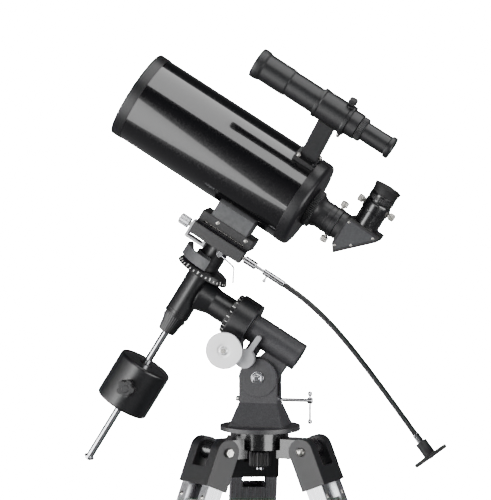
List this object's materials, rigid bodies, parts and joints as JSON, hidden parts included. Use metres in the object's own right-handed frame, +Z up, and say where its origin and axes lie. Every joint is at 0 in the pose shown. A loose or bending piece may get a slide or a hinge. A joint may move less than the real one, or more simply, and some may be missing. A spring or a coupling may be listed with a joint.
{
  "type": "maksutov telescope",
  "caption": "Short closed-tube Maksutov telescope on a tilted two-axis equatorial mount with counterweight, finder, right-angle eyepiece, flexible slow-motion control and folding tripod.",
  "frame": {"origin": "centre of the sole of the first leg's foot, level with the floor", "axes": "+Z up; the polar axis lies in the XZ plane and points up towards -X"},
  "size_m": [0.5905, 0.6002, 1.1692],
  "materials": {
    "black_plastic": "moulded black plastic",
    "brass": "machined brass",
    "bright_wheel": "turned aluminium",
    "chrome": "bright chrome plate",
    "gloss_black": "gloss black enamel",
    "grey_casting": "satin grey paint on cast zinc",
    "iron_black": "satin black painted cast iron",
    "leg_aluminium": "satin anodised extrusion",
    "lens_glass": "coated optical glass",
    "mirror": "aluminised glass",
    "rubber": "black rubber",
    "satin_black": "satin black enamel",
    "steel": "turned steel",
    "wrinkle_paint": "dark grey wrinkle paint on cast metal"
  },
  "bodies": {
    "tripod_top": {"tripod_hub": "gloss_black", "leg_bolts": "steel"},
    "leg_1": {"leg_fittings_1": "black_plastic", "leg_rails_1": "leg_aluminium"},
    "lower_leg_1": {"leg_extension_1": "leg_aluminium"},
    "leg_knob_1": {"leg_clamp_knob_1": "black_plastic"},
    "brace_1": {"brace_arm_1": "black_plastic"},
    "leg_2": {"leg_fittings_2": "black_plastic", "leg_rails_2": "leg_aluminium"},
    "lower_leg_2": {"leg_extension_2": "leg_aluminium"},
    "leg_knob_2": {"leg_clamp_knob_2": "black_plastic"},
    "brace_2": {"brace_arm_2": "black_plastic"},
    "leg_3": {"leg_fittings_3": "black_plastic", "leg_rails_3": "leg_aluminium"},
    "lower_leg_3": {"leg_extension_3": "leg_aluminium"},
    "leg_knob_3": {"leg_clamp_knob_3": "black_plastic"},
    "brace_3": {"brace_arm_3": "black_plastic"},
    "spreader": {"tray_bracket": "black_plastic", "accessory_tray": "black_plastic"},
    "azimuth_knob": {"azimuth_lock_knob": "black_plastic"},
    "azimuth": {"azimuth_base": "wrinkle_paint", "latitude_pivot": "chrome"},
    "polar_head": {"polar_housing": "wrinkle_paint"},
    "t_bolt": {"latitude_t_bolt": "chrome"},
    "ra_slow_motion": {"ra_worm": "steel", "ra_hand_wheel": "bright_wheel"},
    "ra_wheel": {"ra_worm_wheel": "brass"},
    "ra_lock": {"ra_lock_lever": "grey_casting"},
    "ra_circle": {"ra_setting_circle": "satin_black"},
    "dec_casting": {"polar_shaft": "steel", "dec_housing": "gloss_black", "counterweight_bar": "chrome"},
    "dec_circle": {"dec_setting_circle": "satin_black"},
    "counterweight": {"counterweight": "iron_black"},
    "counterweight_lock": {"counterweight_knob": "black_plastic"},
    "dec_head": {"dec_shaft": "steel", "dec_index_bracket": "grey_casting", "dec_worm_block": "gloss_black", "saddle": "satin_black", "tube_foot": "grey_casting", "tube": "gloss_black", "front_cell": "satin_black", "corrector": "lens_glass", "rear_cell": "satin_black", "visual_back": "satin_black", "finder_stem": "satin_black", "finder_bracket": "satin_black", "finder_tube": "satin_black", "slow_motion_cable": "rubber"},
    "dec_slow_motion": {"dec_worm": "steel", "cable_coupling": "chrome"},
    "dec_wheel": {"dec_worm_wheel": "brass"},
    "cable_grip": {"cable_knob": "black_plastic"},
    "dec_lock": {"dec_lock_lever": "chrome"},
    "mirror_carrier": {"primary_mirror": "mirror"},
    "focus": {"focus_knob": "black_plastic"},
    "diagonal": {"star_diagonal": "black_plastic", "eyepiece_holder": "gloss_black"},
    "eyepiece": {"eyepiece": "black_plastic"},
    "finder_eye": {"finder_eye_end": "satin_black"}
  },
  "joints": [
    {"name": "leg_1_fold", "type": "hinge", "parent": "tripod_top", "child": "leg_1", "pos_m": [0.07557, -0.24718, 0.63976], "axis": [-0.9563, -0.2924, 0], "range_deg": [0, 10]},
    {"name": "leg_1_extend", "type": "slide", "parent": "leg_1", "child": "lower_leg_1", "axis": [-0.1095, 0.3582, -0.9272], "range_m": [0, 0.45]},
    {"name": "leg_1_clamp_turn", "type": "hinge", "parent": "leg_1", "child": "leg_knob_1", "pos_m": [0.00072, -0.00235, 0.0648], "axis": [-0.2711, 0.8867, 0.3746], "continuous": true},
    {"name": "brace_1_hinge", "type": "hinge", "parent": "leg_1", "child": "brace_1", "pos_m": [0.05196, -0.16997, 0.38118], "axis": [-0.9563, -0.2924, 0], "range_deg": [0, 17.66]},
    {"name": "leg_2_fold", "type": "hinge", "parent": "tripod_top", "child": "leg_2", "pos_m": [0.04713, -0.37038, 0.63976], "axis": [0.7314, -0.682, 0], "range_deg": [0, 10]},
    {"name": "leg_2_extend", "type": "slide", "parent": "leg_2", "child": "lower_leg_2", "axis": [-0.2555, -0.274, -0.9272], "range_m": [0, 0.45]},
    {"name": "leg_2_clamp_turn", "type": "hinge", "parent": "leg_2", "child": "leg_knob_2", "pos_m": [-0.12748, -0.55763, 0.0648], "axis": [-0.6323, -0.6781, 0.3746], "continuous": true},
    {"name": "brace_2_hinge", "type": "hinge", "parent": "leg_2", "child": "brace_2", "pos_m": [-0.00794, -0.42944, 0.38118], "axis": [0.7314, -0.682, 0], "range_deg": [0, 17.66]},
    {"name": "leg_3_fold", "type": "hinge", "parent": "tripod_top", "child": "leg_3", "pos_m": [0.16804, -0.33342, 0.63976], "axis": [0.225, 0.9744, 0], "range_deg": [0, 10]},
    {"name": "leg_3_extend", "type": "slide", "parent": "leg_3", "child": "lower_leg_3", "axis": [0.365, -0.0843, -0.9272], "range_m": [0, 0.45]},
    {"name": "leg_3_clamp_turn", "type": "hinge", "parent": "leg_3", "child": "leg_knob_3", "pos_m": [0.41751, -0.39101, 0.0648], "axis": [0.9034, -0.2086, 0.3746], "continuous": true},
    {"name": "brace_3_hinge", "type": "hinge", "parent": "leg_3", "child": "brace_3", "pos_m": [0.24672, -0.35158, 0.38118], "axis": [0.225, 0.9744, 0], "range_deg": [0, 17.66]},
    {"name": "spreader_rise", "type": "slide", "parent": "tripod_top", "child": "spreader", "axis": [0, 0, 1], "range_m": [0, 0.0386]},
    {"name": "azimuth_lock_turn", "type": "hinge", "parent": "tripod_top", "child": "azimuth_knob", "pos_m": [0.09692, -0.317, 0.62176], "axis": [0, 0, -1], "continuous": true},
    {"name": "azimuth_turn", "type": "hinge", "parent": "tripod_top", "child": "azimuth", "pos_m": [0.09692, -0.317, 0.66176], "axis": [0, 0, 1], "continuous": true},
    {"name": "latitude_tilt", "type": "hinge", "parent": "azimuth", "child": "polar_head", "pos_m": [0.09692, -0.317, 0.73226], "axis": [0, 1, 0], "range_deg": [-15, 15]},
    {"name": "latitude_bolt_travel", "type": "slide", "parent": "azimuth", "child": "t_bolt", "axis": [1, 0, 0], "range_m": [-0.0083, 0.0083]},
    {"name": "ra_worm_turn", "type": "hinge", "parent": "polar_head", "child": "ra_slow_motion", "pos_m": [0.05688, -0.317, 0.77028], "axis": [0, -1, 0], "continuous": true},
    {"name": "ra_wheel_turn", "type": "hinge", "parent": "polar_head", "child": "ra_wheel", "pos_m": [0.07444, -0.317, 0.80467], "axis": [-0.8526, 0, 0.5225], "continuous": true},
    {"name": "ra_lock_swing", "type": "hinge", "parent": "polar_head", "child": "ra_lock", "pos_m": [0.08147, -0.317, 0.75873], "axis": [0, -1, 0], "range_deg": [-60, 0]},
    {"name": "ra_circle_turn", "type": "hinge", "parent": "polar_head", "child": "ra_circle", "pos_m": [0.05909, -0.317, 0.81408], "axis": [-0.8526, 0, 0.5225], "continuous": true},
    {"name": "right_ascension", "type": "hinge", "parent": "polar_head", "child": "dec_casting", "pos_m": [0.00538, -0.317, 0.84699], "axis": [-0.8526, 0, 0.5225], "range_deg": [-90, 90]},
    {"name": "dec_circle_turn", "type": "hinge", "parent": "dec_casting", "child": "dec_circle", "pos_m": [0.02001, -0.317, 0.87087], "axis": [0.5225, 0, 0.8526], "continuous": true},
    {"name": "counterweight_slide", "type": "slide", "parent": "dec_casting", "child": "counterweight", "axis": [0.5225, 0, 0.8526], "range_m": [-0.078, 0.048]},
    {"name": "counterweight_knob_turn", "type": "hinge", "parent": "counterweight", "child": "counterweight_lock", "pos_m": [-0.0743, -0.3535, 0.71697], "axis": [0, -1, 0], "continuous": true},
    {"name": "declination", "type": "hinge", "parent": "dec_casting", "child": "dec_head", "pos_m": [0.00538, -0.317, 0.84699], "axis": [0.5225, 0, 0.8526], "continuous": true},
    {"name": "dec_worm_turn", "type": "hinge", "parent": "dec_head", "child": "dec_slow_motion", "pos_m": [0.04509, -0.34249, 0.91179], "axis": [-0.8526, 0, 0.5225], "continuous": true},
    {"name": "dec_wheel_turn", "type": "hinge", "parent": "dec_head", "child": "dec_wheel", "pos_m": [0.04509, -0.317, 0.91179], "axis": [0.5225, 0, 0.8526], "continuous": true},
    {"name": "cable_knob_turn", "type": "hinge", "parent": "dec_head", "child": "cable_grip", "pos_m": [0.3094, -0.34249, 0.66561], "axis": [-0.5941, 0, 0.8044], "continuous": true},
    {"name": "dec_lock_swing", "type": "hinge", "parent": "dec_head", "child": "dec_lock", "pos_m": [0.04656, -0.33699, 0.89506], "axis": [0, -1, 0], "range_deg": [-18, 8]},
    {"name": "mirror_focus", "type": "slide", "parent": "dec_head", "child": "mirror_carrier", "axis": [-0.8526, 0, 0.5225], "range_m": [-0.005, 0.005]},
    {"name": "focus_knob_turn", "type": "hinge", "parent": "dec_head", "child": "focus", "pos_m": [0.17086, -0.27699, 0.95435], "axis": [-0.8526, 0, 0.5225], "range_deg": [-1810, 1810]},
    {"name": "diagonal_turn", "type": "hinge", "parent": "dec_head", "child": "diagonal", "pos_m": [0.20667, -0.317, 0.93241], "axis": [-0.8526, 0, 0.5225], "continuous": true},
    {"name": "eyepiece_slide", "type": "slide", "parent": "diagonal", "child": "eyepiece", "axis": [0.5225, 0, 0.8526], "range_m": [0, 0.03]},
    {"name": "finder_focus_turn", "type": "hinge", "parent": "dec_head", "child": "finder_eye", "pos_m": [0.25326, -0.37912, 1.06011], "axis": [-0.8526, 0, 0.5225], "continuous": true}
  ],
  "couplings": [
    {"joint": "brace_1_hinge", "follows": "leg_1_fold", "ratio": 1.746},
    {"joint": "leg_2_fold", "follows": "leg_1_fold", "ratio": 1},
    {"joint": "brace_2_hinge", "follows": "leg_1_fold", "ratio": 1.746},
    {"joint": "leg_3_fold", "follows": "leg_1_fold", "ratio": 1},
    {"joint": "brace_3_hinge", "follows": "leg_1_fold", "ratio": 1.746},
    {"joint": "spreader_rise", "follows": "leg_1_fold", "m_per_rad": 0.21846},
    {"joint": "latitude_bolt_travel", "follows": "latitude_tilt", "m_per_rad": -0.0307},
    {"joint": "ra_wheel_turn", "follows": "ra_worm_turn", "ratio": 0.016667},
    {"joint": "dec_wheel_turn", "follows": "dec_worm_turn", "ratio": 0.016667},
    {"joint": "cable_knob_turn", "follows": "dec_worm_turn", "ratio": 1},
    {"joint": "focus_knob_turn", "follows": "mirror_focus", "rad_per_m": 6283.2}
  ]
}
